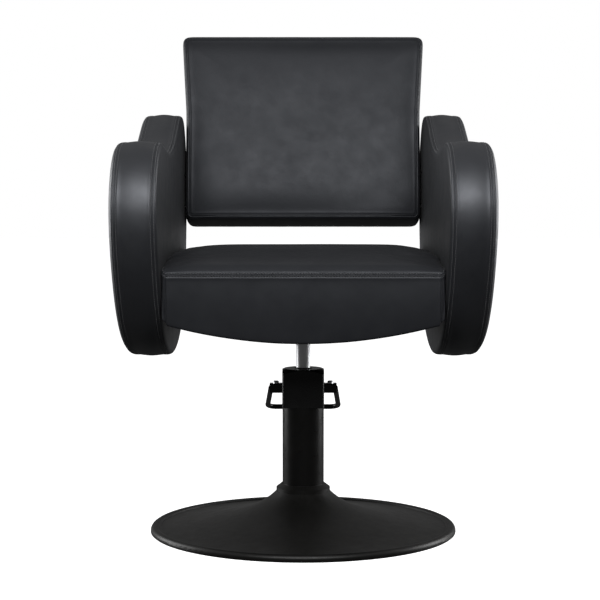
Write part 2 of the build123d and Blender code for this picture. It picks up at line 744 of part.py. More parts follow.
def arm_bolts():
    """M8 bolts: heads inside the seat's side rail, threads in the arm's spacers."""
    bolts = []
    for y, z in arm_bolt_places():
        face = plane_x(inner_plane(-SIDE_GAP - SEAT_PAD - RAIL), y) - GAP
        end = plane_x(inner_plane(ARM_PANEL + ARM_PLY + BOLT_GRIP), y)
        bolts.append(bar_x(BOLT_M8, face, end, y, z) + bar_x(BOLT_HEAD_R, face - BOLT_HEAD_H, face, y, z))
    return bolts


def back_studs():
    """M8 studs from the arm's spacers into the back's batten."""
    studs = []
    for y, z in back_bolt_places():
        end = plane_x(inner_plane(ARM_PANEL + ARM_PLY + BOLT_GRIP), y)
        studs.append(bar_x(BOLT_M8, plane_x(inner_plane(-BATTEN), y), end, y, z))
    return studs


# ---------------------------------------------------------------- back
def lean(shape):
    """Places a piece made upright, its front at Y = 0 and its foot at Z = 0, on the chair."""
    return Pos(0, BACK_Y, BACK_Z) * Rot(-RECLINE, 0, 0) * shape


def back_slab(inset, front, rear):
    """Upright slab of the back, wider above the arms, drawn in by inset."""
    half = plane_x(inner_plane(-SIDE_GAP), ARM_REAR)
    low, high = inset, BACK_HEIGHT - inset
    right = [(half, low), (half, BACK_WAIST), (half + BACK_FLARE, high)]
    left = [(-x, z) for x, z in reversed(right)]
    corners = [(math.copysign(abs(x) - inset, x), 0, z) for x, z in right + left]
    return along_y(make_face(Polyline(*corners, close=True)), front, rear)


def back_corners(slab):
    """The edges at a slab's corners that run from its front to its rear."""
    groups = slab.edges().filter_by(Axis.Y).group_by(Axis.Z)
    return [*groups[0], *groups[-1]]


def back_cushion():
    """Foam front of the back with rounded edges."""
    slab = back_slab(0.0, 0.0, BACK_FOAM)
    slab = fillet(back_corners(slab), BACK_EDGE_R)
    return lean(fillet(slab.edges().group_by(Axis.Y)[0], BACK_EDGE_R - 2))


def back_border():
    """Band round the back's frame."""
    start, end = BACK_FOAM, BACK_FOAM + BACK_FRAME
    outer = back_slab(0.0, start, end)
    outer = fillet(back_corners(outer), BACK_EDGE_R)
    inner = back_slab(BACK_BORDER, start - 1, end + 1)
    return back_drill(lean(outer - inner))


def back_rear_panel():
    start = BACK_FOAM + BACK_FRAME
    slab = back_slab(0.0, start, start + BACK_REAR)
    slab = fillet(back_corners(slab), BACK_EDGE_R)
    return lean(fillet(slab.edges().group_by(Axis.Y)[-1], BACK_EDGE_R - 2))


def back_board():
    """Plywood sheet behind the foam."""
    end = BACK_FOAM + BACK_FRAME
    return lean(back_slab(BACK_BORDER, end - BACK_PLY, end))


def back_battens():
    """Two upright battens that take the bolts from the arms."""
    start, end = BACK_FOAM, BACK_FOAM + BACK_FRAME - BACK_PLY
    sheet = back_slab(BACK_BORDER, start, end)
    middle = back_slab(BACK_BORDER + BATTEN, start - 1, end + 1)
    return back_drill(lean(sheet - middle - back_rail_zone(0.0, 1.0)))


def back_cross_rails():
    """Lower and upper rails between the battens."""
    start, end = BACK_FOAM, BACK_FOAM + BACK_FRAME - BACK_PLY
    sheet = back_slab(BACK_BORDER, start, end)
    return back_drill(lean(sheet & back_rail_zone(0.0, 0.0)))


def back_rail_zone(front, spare):
    """Two boxes that hold the lower and the upper cross rail, made taller by spare."""
    wide, deep = 2 * ARM_OUTER, BACK_FOAM + BACK_FRAME
    tall = BACK_BORDER + BATTEN + spare
    lower = block((-wide, front, 0.0), (wide, deep, tall))
    upper = block((-wide, front, BACK_HEIGHT - tall), (wide, deep, BACK_HEIGHT))
    return lower + upper


def back_drill(shape):
    """Holes for the studs from both arms."""
    for y, z in back_bolt_places():
        hole = bar_x(BOLT_M8, plane_x(inner_plane(-BATTEN), y), ARM_INNER, y, z)
        shape = shape - hole - mirrored(hole)
    return shape


# ---------------------------------------------------------------- write every node
def write_base():
    write("base_cover", base_cover())
    write("ballast_plate", ballast_plate())
    write("floor_ring", floor_ring())
    write("base_bolts", *base_bolts())


def write_pump():
    write("pump_flange", pump_flange())
    write("column_tube", column_tube())
    write("column_collar", column_collar())
    write("pressure_cylinder", pressure_cylinder())
    write("pump_head", pump_head())
    write("guide_bush", guide_bush())
    write("wiper_seal", wiper_seal())
    write("shaft_bushes", *shaft_bushes())
    write("plunger_spring", plunger_spring())
    write("pump_barrel", pump_barrel())
    write("pump_plunger", pump_plunger())
    write("lever_shaft", lever_shaft())
    write("pedal_lugs", *pedal_lugs())
    write("pedal_bar", pedal_bar())
    write("lug_screws", lug_screw(), mirrored(lug_screw()))
    write("piston_head", piston_head())
    write("piston_seals", *piston_seals())
    write("piston_rod", piston_rod())
    write("rod_retaining_ring", rod_retaining_ring())


def write_seat():
    write("mounting_plate", mounting_plate())
    write("mounting_bolts", *mounting_bolts())
    write("seat_board", seat_board())
    write("seat_front_rail", seat_rail(front_rail_y()))
    write("seat_rear_rail", seat_rail(rear_rail_y()))
    write("seat_side_rails", side_rail(), mirrored(side_rail()))
    write("seat_cushion", seat_cushion())
    write("seat_front_panel", seat_front_panel())
    write("seat_side_panels", seat_side_panel(), mirrored(seat_side_panel()))
    write("seat_rear_panel", seat_rear_panel())
    write("underseat_cover", underseat_cover())


def write_arms():
    for side, place in (("right", lambda s: s), ("left", mirrored)):
        write(f"arm_{side}_inner_panel", place(arm_inner_panel()))
        write(f"arm_{side}_outer_panel", place(arm_outer_panel()))
        write(f"arm_{side}_band", place(arm_band()))
        write(f"arm_{side}_frame", *[place(s) for s in arm_frame()])
        write(f"arm_{side}_bolts", *[place(s) for s in arm_bolts()])
        write(f"back_{side}_studs", *[place(s) for s in back_studs()])


def write_back():
    write("back_cushion", back_cushion())
    write("back_border", back_border())
    write("back_rear_panel", back_rear_panel())
    write("back_board", back_board())
    write("back_battens", back_battens())
    write("back_cross_rails", back_cross_rails())


os.makedirs("parts", exist_ok=True)
write_base()
write_pump()
write_seat()
write_arms()
write_back()
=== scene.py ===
import json
import math

import bmesh
import bpy
import numpy as np
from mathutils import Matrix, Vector, noise
from mathutils.bvhtree import BVHTree


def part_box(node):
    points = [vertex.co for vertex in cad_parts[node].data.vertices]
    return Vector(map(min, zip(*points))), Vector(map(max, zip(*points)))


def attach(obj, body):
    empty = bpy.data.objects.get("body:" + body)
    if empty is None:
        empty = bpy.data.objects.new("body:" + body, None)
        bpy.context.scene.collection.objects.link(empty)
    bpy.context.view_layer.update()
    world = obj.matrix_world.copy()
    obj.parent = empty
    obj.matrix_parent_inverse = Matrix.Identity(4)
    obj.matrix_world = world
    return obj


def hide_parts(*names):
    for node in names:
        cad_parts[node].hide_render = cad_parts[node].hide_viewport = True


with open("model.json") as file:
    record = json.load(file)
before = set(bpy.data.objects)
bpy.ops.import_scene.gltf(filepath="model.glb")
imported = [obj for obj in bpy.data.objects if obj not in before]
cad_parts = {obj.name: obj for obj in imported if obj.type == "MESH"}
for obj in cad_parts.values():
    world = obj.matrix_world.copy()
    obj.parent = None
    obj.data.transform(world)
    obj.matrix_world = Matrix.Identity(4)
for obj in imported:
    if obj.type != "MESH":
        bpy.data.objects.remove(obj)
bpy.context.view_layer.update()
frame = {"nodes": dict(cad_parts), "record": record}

# ---------------------------------------------------------------- sizes, in metres and degrees
MM = 0.001
ARM_TOE_IN = math.radians(1.83)  # turn of an arm's inner face
ARM_TOE_OUT = math.radians(2.67)  # and of its outer face
ARM_EDGE_IN = 9 * MM  # radius of an arm's inner edge
ARM_EDGE_OUT = 14 * MM  # and of its outer edge
ARM_SEAM_IN = 7.5 * MM  # seam on the band, from the inner face
ARM_SEAM_OUT = 11 * MM  # and from the outer face
ARM_SAMPLES = 300
ARM_SWELL = 2.6 * MM  # most that the simulation may swell an arm
BAND_CROWN = 2.4 * MM
BAND_INSET = 1.6 * MM  # the band's seams lie this far inside its outline
PANEL_CROWN = 2.5 * MM
SEAT_PLAN_R = 9 * MM
SEAT_REAR_R = 16 * MM
SEAT_WALL = 9.5 * MM
SEAT_FOOT_R = 13 * MM
SEAT_SIDE_FALL = 0.45  # share of the CAD cushion's fall towards its sides
SEAT_TAPER = 5 * MM  # how far the front leans in at its foot
SEAT_CORNER_SEAM = 5 * MM  # upright seam, in from the seat's side
SEAT_SHOULDER = 8 * MM  # width of the curve between the seat's top and its walls
SEAT_HEM_R = 4 * MM  # radius of the walls' lower edge
SEAT_SAMPLES = 300
SEAT_SWELL = 4.0 * MM
RECLINE = math.radians(14.0)
BACK_FLARE = 7 * MM
BACK_WAIST = 221 * MM
BACK_CORNER = 12 * MM
BACK_WIDER = 2.6 * MM  # padding that stands past the CAD cushion at each side, above the arms
BACK_TALLER = 3.5 * MM  # and at the top
BACK_SAMPLES = 290
BACK_INSET = 22 * MM  # where the back's rings of seam give way to those of its face
BACK_TOP_FALL = (42 * MM, 8 * MM)  # near its top the face falls back over this height, by this much
BACK_FOOT_FALL = (90 * MM, 12 * MM)  # and near its bottom
BACK_ARM_REACH = 250 * MM  # up to this height the sides fall back more, between the arms
BACK_CROWN = 1.4 * MM
BACK_REAR_CROWN = 1.5 * MM
BACK_EDGE = 10 * MM
BACK_SEAM_IN = 6.5 * MM
BACK_SWELL = 4.0 * MM
STITCH_ROW = 3 * MM  # a stitch row stands this far from its seam
STITCH_PITCH = 4.9 * MM
STITCH_LENGTH = 3.1 * MM
STITCH_R = 0.55 * MM
STEPS = np.array([-6, -4.6, -3.8, -3, -2.2, -1.4, -0.7, 0, 0.7, 1.4, 2.2, 3, 3.8, 4.6, 6, 9]) * MM
SIM_FRAMES = 20
SIM_PRESSURE = 4.0
SIM_EASING = 8  # passes that take the stray creases out of the simulated swelling
FAR = 1.0  # stands for the distance to a seam that isn't near

CAMERA_PLACE = (-0.006, -3.396, 0.6907)
CAMERA_TILT = math.radians(4.218)  # below the horizon
LENS_MM = 108.0


# ---------------------------------------------------------------- camera
def make_camera():
    data = bpy.data.cameras.new("camera")
    data.lens = LENS_MM
    data.sensor_width = 36.0
    camera = bpy.data.objects.new("camera", data)
    camera.location = CAMERA_PLACE
    camera.rotation_euler = (math.pi / 2 - CAMERA_TILT, 0.0, 0.0)
    bpy.context.scene.collection.objects.link(camera)
    bpy.context.scene.camera = camera


make_camera()


# ---------------------------------------------------------------- reading the frame
def points_of(names):
    """Every vertex of these CAD nodes."""
    found = []
    for name in names:
        mesh = frame["nodes"][name].data
        flat = np.empty(len(mesh.vertices) * 3)
        mesh.vertices.foreach_get("co", flat)
        found.append(flat.reshape(-1, 3))
    return np.vstack(found)


def reach(names, direction):
    """Lowest and highest reach of CAD nodes along a direction."""
    values = points_of(names) @ np.array(direction)
    return values.min(), values.max()


def tree_of(name):
    mesh = frame["nodes"][name].data
    return BVHTree.FromPolygons([v.co for v in mesh.vertices], [p.vertices for p in mesh.polygons])


# ---------------------------------------------------------------- mesh helpers
def smooth_step(value):
    value = np.clip(value, 0.0, 1.0)
    return value * value * (3 - 2 * value)


def unit(vectors):
    return vectors / np.maximum(np.linalg.norm(vectors, axis=-1, keepdims=True), 1e-12)


def along(points, closed):
    """Length along a line up to each of its points, and the line closed if asked."""
    line = np.vstack([points, points[:1]]) if closed else points
    steps = np.linalg.norm(np.diff(line, axis=0), axis=1)
    return line, np.concatenate([[0.0], np.cumsum(steps)])


def at_lengths(line, lengths, wanted):
    return np.column_stack([np.interp(wanted, lengths, line[:, k]) for k in range(line.shape[1])])


def soften(loop, times):
    for _ in range(times):
        loop = 0.25 * np.roll(loop, 1, axis=0) + 0.5 * loop + 0.25 * np.roll(loop, -1, axis=0)
    return loop


def outward(loop):
    """Unit normals of a closed anticlockwise outline in its own plane."""
    tangent = unit(np.roll(loop, -1, axis=0) - np.roll(loop, 1, axis=0))
    return np.column_stack([tangent[:, 1], -tangent[:, 0]])


def rounded(corners, radii, arc_points=24):
    """Closed anticlockwise outline through corners, each rounded."""
    line = []
    corners = np.array(corners, float)
    for k, radius in enumerate(radii):
        corner = corners[k]
        before = unit(corners[k - 1] - corner)
        after = unit(corners[(k + 1) % len(corners)] - corner)
        half = math.acos(float(before @ after)) / 2
        centre = corner + unit(before + after) * radius / math.sin(half)
        start = corner + before * radius / math.tan(half) - centre
        end = corner + after * radius / math.tan(half) - centre
        sweep = math.pi - 2 * half
        for f in np.linspace(0.0, 1.0, arc_points):
            mix = (start * math.sin((1 - f) * sweep) + end * math.sin(f * sweep)) / math.sin(sweep)
            line.append(centre + mix)
    return np.array(line)


def loft(name, rings):
    """Closed form from rings of points (ring, around, xyz), with quads between rings and a cap at each end."""
    count, around = rings.shape[:2]
    first = np.arange(around)
    following = np.roll(first, -1)
    faces = []
    for k in range(count - 1):
        low, high = k * around, (k + 1) * around
        faces += np.column_stack([low + first, low + following, high + following, high + first]).tolist()
    for base in (0, (count - 1) * around):
        faces += cap(base, around)
    return mesh_object(name, rings.reshape(-1, 3), faces)


def cap(base, around):
    """Closes a ring with a strip of faces across it."""
    made = []
    for j in range((around - 1) // 2):
        corners = [j, j + 1, around - 2 - j, around - 1 - j]
        made.append([base + c for c in dict.fromkeys(corners)])
    return made


def mesh_object(name, points, faces):
    mesh = bpy.data.meshes.new(name)
    mesh.from_pydata(points.tolist(), [], faces)
    work = bmesh.new()
    work.from_mesh(mesh)
    bmesh.ops.recalc_face_normals(work, faces=work.faces)
    work.to_mesh(mesh)
    work.free()
    mesh.shade_smooth()
    made = bpy.data.objects.new(name, mesh)
    bpy.context.scene.collection.objects.link(made)
    return made


def get_points(mesh):
    flat = np.empty(len(mesh.vertices) * 3)
    mesh.vertices.foreach_get("co", flat)
    return flat.reshape(-1, 3)


def set_points(mesh, points):
    mesh.vertices.foreach_set("co", points.reshape(-1))
    mesh.update()


def get_normals(mesh):
    flat = np.empty(len(mesh.vertices) * 3)
    mesh.vertices.foreach_get("normal", flat)
    return flat.reshape(-1, 3)


def uneven(points, size, seed):
    """Smooth noise from -1 to 1 at each point, with features of about that size."""
    shift = Vector((seed * 7.3, seed * 3.1, seed * 5.7))
    return np.array([noise.noise(Vector(p) / size + shift) for p in points])


# ---------------------------------------------------------------- upholstery
def inflate(piece, free, swell, around):
    """Cloth simulation under inner pressure. free is 0 where a vertex is sewn down, up to 1.

    swell limits how far a vertex may move.
    """
    rest = get_points(piece.data)
    group = piece.vertex_groups.new(name="sewn")
    for index in np.flatnonzero(free <= 0.0).tolist():
        group.add([index], 1.0, "REPLACE")
    cloth = piece.modifiers.new("cloth", "CLOTH")
    settings = cloth.settings
    settings.quality = 4
    settings.mass = 0.4
    settings.tension_stiffness = 25.0
    settings.compression_stiffness = 18.0
    settings.shear_stiffness = 12.0
    settings.bending_stiffness = 2.0
    settings.use_pressure = True
    settings.uniform_pressure_force = SIM_PRESSURE
    settings.effector_weights.gravity = 0.0
    settings.vertex_group_mass = "sewn"
    cloth.collision_settings.use_collision = False
    cloth.point_cache.frame_end = SIM_FRAMES
    scene = bpy.context.scene
    for number in range(1, SIM_FRAMES + 1):
        scene.frame_set(number)
    swollen = piece.evaluated_get(bpy.context.evaluated_depsgraph_get())
    moved = get_points(swollen.data) - rest
    piece.modifiers.remove(cloth)
    piece.vertex_groups.remove(group)
    scene.frame_set(1)
    length = np.linalg.norm(moved, axis=1, keepdims=True)
    limit = swell * np.clip(free, 0.0, 1.0)[:, None] + 1e-9
    kept = moved / np.maximum(length, 1e-9) * limit * np.tanh(length / limit)
    loose = (free > 0.0).reshape(-1, around, 1)
    kept = kept.reshape(-1, around, 3)
    for _ in range(SIM_EASING):
        kept = 0.25 * np.roll(kept, 1, axis=1) + 0.5 * kept + 0.25 * np.roll(kept, -1, axis=1)
        beside = np.pad(kept, ((1, 1), (0, 0), (0, 0)), mode="edge")
        kept = (0.25 * beside[:-2] + 0.5 * kept + 0.25 * beside[2:]) * loose
    set_points(piece.data, rest + kept.reshape(-1, 3))


def subdivide(piece):
    modifier = piece.modifiers.new("subdivision", "SUBSURF")
    modifier.levels = 1
    modifier.render_levels = 1
    done = piece.evaluated_get(bpy.context.evaluated_depsgraph_get())
    finer = bpy.data.meshes.new_from_object(done)
    piece.modifiers.remove(modifier)
    piece.data = finer
    finer.shade_smooth()


def seam_profile(distance, stitched=True):
    """How far leather stands out (or dips in) beside a seam, by distance from it."""
    depth = -0.9 * np.exp(-(distance / (0.8 * MM)) ** 2)
    if stitched:
        depth -= 0.6 * np.exp(-((np.abs(distance) - STITCH_ROW) / (0.8 * MM)) ** 2)
    depth += 0.7 * np.exp(-((np.abs(distance) - STITCH_ROW / 2) / (0.8 * MM)) ** 2)
    depth += 0.6 * np.exp(-((np.abs(distance) - 5.5 * MM) / (2 * MM)) ** 2)
    return depth * MM


def pucker(points, distance, seed):
    """Small gathers that cross a seam and fade away from it."""
    fade = np.exp(-(distance / (11 * MM)) ** 2)
    chosen = np.flatnonzero(fade > 0.02)
    height = np.zeros(len(points))
    height[chosen] = uneven(points[chosen], 13 * MM, seed) * fade[chosen] * 0.28 * MM
    return height


def hand_made(piece, seam_distance, seed, stitched=True, soft=0.35):
    """Sinks the seams, gathers the leather beside them, and takes the dead flatness out of the panels."""
    mesh = piece.data
    points, normals = get_points(mesh), get_normals(mesh)
    height = np.zeros(len(points))
    for distance in seam_distance:
        height += seam_profile(distance, stitched) + pucker(points, distance, seed)
    away = np.min([np.abs(d) for d in seam_distance], axis=0)
    height += uneven(points, 85 * MM, seed + 1) * soft * MM * smooth_step(away / (25 * MM))
    set_points(mesh, points + normals * height[:, None])


def stitches(name, owner, rows, material):
    """Rows of short thread stitches that lie in the leather of owner. A row is (points, closed)."""
    mesh = owner.data
    tree = BVHTree.FromPolygons([v.co for v in mesh.vertices], [p.vertices for p in mesh.polygons])
    stations = np.array([-1.0, -0.8, -0.3, 0.3, 0.8, 1.0])
    girth = np.array([0.25, 0.8, 1.0, 1.0, 0.8, 0.25])
    lift = np.array([-0.75, -0.1, 0.25, 0.25, -0.1, -0.75])
    angles = np.arange(6) * math.pi / 3
    points, faces = [], []
    for row, closed in rows:
        line, lengths = along(row, closed)
        number = max(2, int(lengths[-1] / STITCH_PITCH))
        middle = (np.arange(number) + 0.5) * lengths[-1] / number
        places = at_lengths(line, lengths, middle)
        ends = at_lengths(line, lengths, np.minimum(middle + MM, lengths[-1]))
        starts = at_lengths(line, lengths, np.maximum(middle - MM, 0.0))
        for place, direction in zip(places, unit(ends - starts)):
            spot, normal, _, _ = tree.find_nearest(Vector(place))
            normal = np.array(normal)
            forward = unit(direction - normal * (direction @ normal))
            across = np.cross(normal, forward)
            base = len(points)
            for station, size, rise in zip(stations, girth, lift):
                core = np.array(spot) + forward * station * STITCH_LENGTH / 2 + normal * rise * STITCH_R
                for angle in angles:
                    side = across * math.cos(angle) + normal * math.sin(angle)
                    points.append(core + side * STITCH_R * size)
            for k in range(len(stations) - 1):
                for j in range(6):
                    low, high = base + 6 * k, base + 6 * k + 6
                    faces.append((low + j, low + (j + 1) % 6, high + (j + 1) % 6, high + j))
            faces.append(tuple(base + j for j in range(5, -1, -1)))
            faces.append(tuple(base + 30 + j for j in range(6)))
    made = mesh_object(name, np.array(points), faces)
    made.data.materials.append(material)
    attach(made, "seat")


# ---------------------------------------------------------------- materials
def map_range(tree, start, end, low, high):
    """A node that takes values from start..end to low..high."""
    node = tree.nodes.new("ShaderNodeMapRange")
    for name, value in zip(("From Min", "From Max", "To Min", "To Max"), (start, end, low, high)):
        node.inputs[name].default_value = value
    return node


class Nodes:
    """A material and the nodes added to it."""

    def __init__(self, name):
        self.material = bpy.data.materials.new(name)
        self.material.use_nodes = True
        self.tree = self.material.node_tree
        self.shader = next(n for n in self.tree.nodes if n.type == "BSDF_PRINCIPLED")
        self.place = self.add("ShaderNodeTexCoord").outputs["Object"]

    def add(self, kind, **inputs):
        node = self.tree.nodes.new(kind)
        for name, value in inputs.items():
            node.inputs[name.replace("_", " ")].default_value = value
        return node

    def join(self, source, target):
        self.tree.links.new(source, target)

    def constants(self, **values):
        for name, value in values.items():
            self.shader.inputs[name.replace("_", " ")].default_value = value

    def noise(self, scale, detail=3.0, roughness=0.55, stretch=None):
        node = self.add("ShaderNodeTexNoise", Scale=scale, Detail=detail, Roughness=roughness)
        source = self.place
        if stretch:
            mapping = self.add("ShaderNodeMapping")
            mapping.inputs["Scale"].default_value = stretch
            self.join(self.place, mapping.inputs["Vector"])
            source = mapping.outputs["Vector"]
        self.join(source, node.inputs["Vector"])
        return node.outputs["Fac"]

    def cells(self, scale):
        node = self.add("ShaderNodeTexVoronoi", Scale=scale)
        self.join(self.place, node.inputs["Vector"])
        return node.outputs["Distance"]

    def ramp(self, source, stops):
        node = self.add("ShaderNodeValToRGB")
        ramp = node.color_ramp
        while len(ramp.elements) < len(stops):
            ramp.elements.new(0.5)
        for element, (position, colour) in zip(ramp.elements, stops):
            element.position = position
            element.color = (*colour, 1.0)
        self.join(source, node.inputs["Fac"])
        return node.outputs["Color"]

    def span(self, source, low, high, start=0.3, end=0.7):
        node = map_range(self.tree, start, end, low, high)
        self.join(source, node.inputs["Value"])
        return node.outputs["Result"]

    def bump(self, source, distance, strength=1.0, under=None):
        node = self.add("ShaderNodeBump", Strength=strength, Distance=distance)
        self.join(source, node.inputs["Height"])
        if under is not None:
            self.join(under, node.inputs["Normal"])
        return node.outputs["Normal"]

    def finish(self, colour=None, roughness=None, normal=None):
        for source, name in ((colour, "Base Color"), (roughness, "Roughness"), (normal, "Normal")):
            if source is not None:
                self.join(source, self.shader.inputs[name])
        return self.material


def leatherette(name, dark, light, rough, gloss):
    made = Nodes(name)
    made.constants(Specular_IOR_Level=gloss, Specular_Tint=(0.90, 0.93, 1.0, 1.0), Sheen_Weight=0.02,
                   Sheen_Roughness=0.45)
    colour = made.ramp(made.noise(9.0, 4.0), [(0.32, dark), (0.68, light)])
    grain = made.bump(made.cells(850.0), 0.00007, 0.55)
    creases = made.bump(made.noise(420.0, 5.0, 0.7), 0.00009, 0.5, under=grain)
    slow = made.bump(made.noise(38.0, 2.0), 0.00035, 0.18, under=creases)
    roughness = made.span(made.noise(24.0, 5.0, 0.7), rough - 0.05, rough + 0.06)
    return made.finish(colour, roughness, slow)


def powder_coat(name, dark, light, rough):
    made = Nodes(name)
    made.constants(Specular_IOR_Level=0.32)
    colour = made.ramp(made.noise(14.0, 5.0, 0.65), [(0.3, dark), (0.7, light)])
    peel = made.bump(made.noise(650.0, 2.0), 0.00003, 0.25)
    waves = made.bump(made.noise(60.0, 2.0), 0.00012, 0.2, under=peel)
    roughness = made.span(made.noise(33.0, 6.0, 0.75), rough - 0.05, rough + 0.07)
    return made.finish(colour, roughness, waves)


def metal(name, dark, light, rough, spread, stretch, scale=160.0):
    made = Nodes(name)
    made.constants(Metallic=1.0)
    lines = made.noise(scale, 3.0, 0.6, stretch)
    colour = made.ramp(lines, [(0.25, dark), (0.75, light)])
    roughness = made.span(lines, rough, rough + spread)
    return made.finish(colour, roughness, made.bump(lines, 0.00002, 0.25))


def dull(name, dark, light, rough, scale, bump, metallic=0.0):
    """Rubber, cast iron or other plain stock with a speckled surface."""
    made = Nodes(name)
    made.constants(Metallic=metallic)
    speckle = made.noise(scale, 6.0, 0.7)
    colour = made.ramp(speckle, [(0.3, dark), (0.7, light)])
    return made.finish(colour, made.span(speckle, rough, rough + 0.12), made.bump(speckle, bump, 0.5))


def plywood():
    made = Nodes("plywood")
    figure = made.noise(26.0, 6.0, 0.62, (1.0, 9.0, 9.0))
    colour = made.ramp(figure, [(0.25, (0.30, 0.17, 0.075)), (0.75, (0.56, 0.37, 0.20))])
    return made.finish(colour, made.span(figure, 0.5, 0.68), made.bump(figure, 0.0002, 0.4))


def underside_cloth():
    made = Nodes("underside_cloth")
    wave = made.add("ShaderNodeTexWave", Scale=420.0, Distortion=2.5, Detail=2.0)
    made.join(made.place, wave.inputs["Vector"])
    fibres = made.noise(900.0, 4.0, 0.7)
    colour = made.ramp(fibres, [(0.3, (0.012, 0.012, 0.013)), (0.7, (0.03, 0.03, 0.032))])
    weave = made.bump(wave.outputs["Fac"], 0.0002, 0.5)
    return made.finish(colour, made.span(fibres, 0.85, 0.95), made.bump(fibres, 0.0001, 0.5, under=weave))


def thread():
    made = Nodes("thread")
    twist = made.noise(2200.0, 2.0)
    colour = made.ramp(twist, [(0.3, (0.105, 0.107, 0.112)), (0.7, (0.165, 0.168, 0.175))])
    made.constants(Specular_IOR_Level=0.3)
    return made.finish(colour, made.span(twist, 0.65, 0.8), made.bump(twist, 0.0001, 0.6))


LEATHER_DARK, LEATHER_LIGHT = (0.0130, 0.0138, 0.0162), (0.0172, 0.0182, 0.0208)
PAINT_DARK, PAINT_LIGHT = (0.0024, 0.0023, 0.0020), (0.0042, 0.0040, 0.0035)
leather = {
    part: leatherette(part + "_leatherette", LEATHER_DARK, LEATHER_LIGHT, rough, gloss)
    for part, rough, gloss in (("seat", 0.44, 0.37), ("arm", 0.48, 0.85), ("back", 0.47, 0.33))
}
black_thread = thread()
COLUMN_DARK, COLUMN_LIGHT = (0.0022, 0.0021, 0.0019), (0.0038, 0.0036, 0.0033)
STEEL_DARK, STEEL_LIGHT = (0.36, 0.36, 0.37), (0.52, 0.52, 0.53)
CHROME_DARK, CHROME_LIGHT = (0.80, 0.81, 0.83), (0.88, 0.89, 0.90)
# Near-black for the back's studs, which are zinc: painted shade for the gap between the back and the arms, where
# the studs show.
STUD_SHADE_DARK, STUD_SHADE_LIGHT = (0.012, 0.012, 0.012), (0.022, 0.022, 0.022)
slot_materials = {
    "base_paint": powder_coat("base_paint", PAINT_DARK, PAINT_LIGHT, 0.42),
    "column_paint": powder_coat("column_paint", COLUMN_DARK, COLUMN_LIGHT, 0.30),
    "head_paint": powder_coat("head_paint", (0.004, 0.004, 0.004), (0.007, 0.007, 0.007), 0.26),
    "pedal_paint": powder_coat("pedal_paint", (0.005, 0.005, 0.005), (0.009, 0.009, 0.009), 0.24),
    "plate_paint": powder_coat("plate_paint", PAINT_DARK, PAINT_LIGHT, 0.45),
    "chrome_rod": metal("chrome_rod", CHROME_DARK, CHROME_LIGHT, 0.42, 0.06, (1, 1, 14), 90.0),
    "zinc_screw": metal("zinc_screw", (0.50, 0.51, 0.53), (0.68, 0.69, 0.71), 0.26, 0.16, (1, 1, 1), 500.0),
    # black_oxide is no finish of the chair: it darkens the zinc studs as painted shade of the gap beside the
    # back.
    "black_oxide": metal("black_oxide", STUD_SHADE_DARK, STUD_SHADE_LIGHT, 0.45, 0.12, (1, 1, 1), 500.0),
    "ballast_iron": dull("ballast_iron", (0.05, 0.047, 0.045), (0.10, 0.09, 0.085), 0.62, 90.0, 0.0003, 1.0),
    "plain_steel": metal("plain_steel", STEEL_DARK, STEEL_LIGHT, 0.30, 0.14, (1, 1, 12), 220.0),
    "floor_rubber": dull("floor_rubber", (0.010, 0.010, 0.010), (0.020, 0.020, 0.020), 0.78, 260.0, 0.0002),
    "seal_rubber": dull("seal_rubber", (0.010, 0.010, 0.011), (0.017, 0.017, 0.018), 0.55, 400.0, 0.0001),
    "bush_brass": metal("bush_brass", (0.55, 0.36, 0.12), (0.72, 0.50, 0.20), 0.26, 0.14, (1, 1, 10), 200.0),
    "plywood": plywood(),
    "underside_cloth": underside_cloth(),
}


def paint_nodes():
    """Gives each CAD node the material of its slot in the record, and the back's zinc studs a near-black colour
    as painted shade of the gap beside the back.
    """
    for part in frame["record"]["subparts"]:
        made = frame["nodes"].get(part["node"])
        if made is not None and part["material_slot"] in slot_materials:
            for place in made.material_slots:
                place.material = slot_materials[part["material_slot"]]
    # Painted shade: the studs are zinc in the record but are drawn near-black, so the gap between the back and
    # the arms looks shaded.
    for node in ("back_left_studs", "back_right_studs"):
        for place in frame["nodes"][node].material_slots:
            place.material = slot_materials["black_oxide"]


paint_nodes()


# ---------------------------------------------------------------- arms
def arm_outline():
    """Side outline of an arm at the middle of its thickness, with its normals, read from the CAD band."""
    low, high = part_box("arm_right_band")
    middle = (low + high) / 2
    band = tree_of("arm_right_band")
    centre = Vector((middle.x, middle.y, (low.z + high.z) / 2 - 4 * MM))
    hits = []
    for angle in np.linspace(0, 2 * math.pi, 1440, endpoint=False):
        direction = Vector((0, math.cos(angle), math.sin(angle)))
        spot = band.ray_cast(centre + direction, -direction)[0]
        hits.append((spot.y, spot.z))
    line, lengths = along(np.array(hits), True)
    loop = at_lengths(line, lengths, np.arange(ARM_SAMPLES) * lengths[-1] / ARM_SAMPLES)
    loop = soften(loop, 2)
    return loop, outward(loop), np.array([centre.y, centre.z])


def arm_faces():
    """Where an arm's inner and outer faces are, as functions of the depth."""
    cos_in, sin_in = math.cos(ARM_TOE_IN), math.sin(ARM_TOE_IN)
    cos_out, sin_out = math.cos(ARM_TOE_OUT), math.sin(ARM_TOE_OUT)
    inner = reach(["arm_right_inner_panel"], (cos_in, sin_in, 0))[0]
    outer = reach(["arm_right_outer_panel"], (cos_out, sin_out, 0))[1]
    return (lambda y: (inner - y * sin_in) / cos_in), (lambda y: (outer - y * sin_out) / cos_out)


inner_x, outer_x = arm_faces()


def edge_section(length, radius):
    """(inset from the outline, depth from the face) at a length along a rounded edge, from the face on."""
    turn = np.clip(length / radius, 0.0, math.pi / 2)
    past = max(0.0, length - radius * math.pi / 2)
    before = max(0.0, -length)
    return radius * (1 - math.sin(turn)) + before, radius * (1 - math.cos(turn)) + past


def seam_length(depth, radius):
    """Length along a rounded edge at which the section is that far from the face."""
    return radius * math.acos(1 - depth / radius)


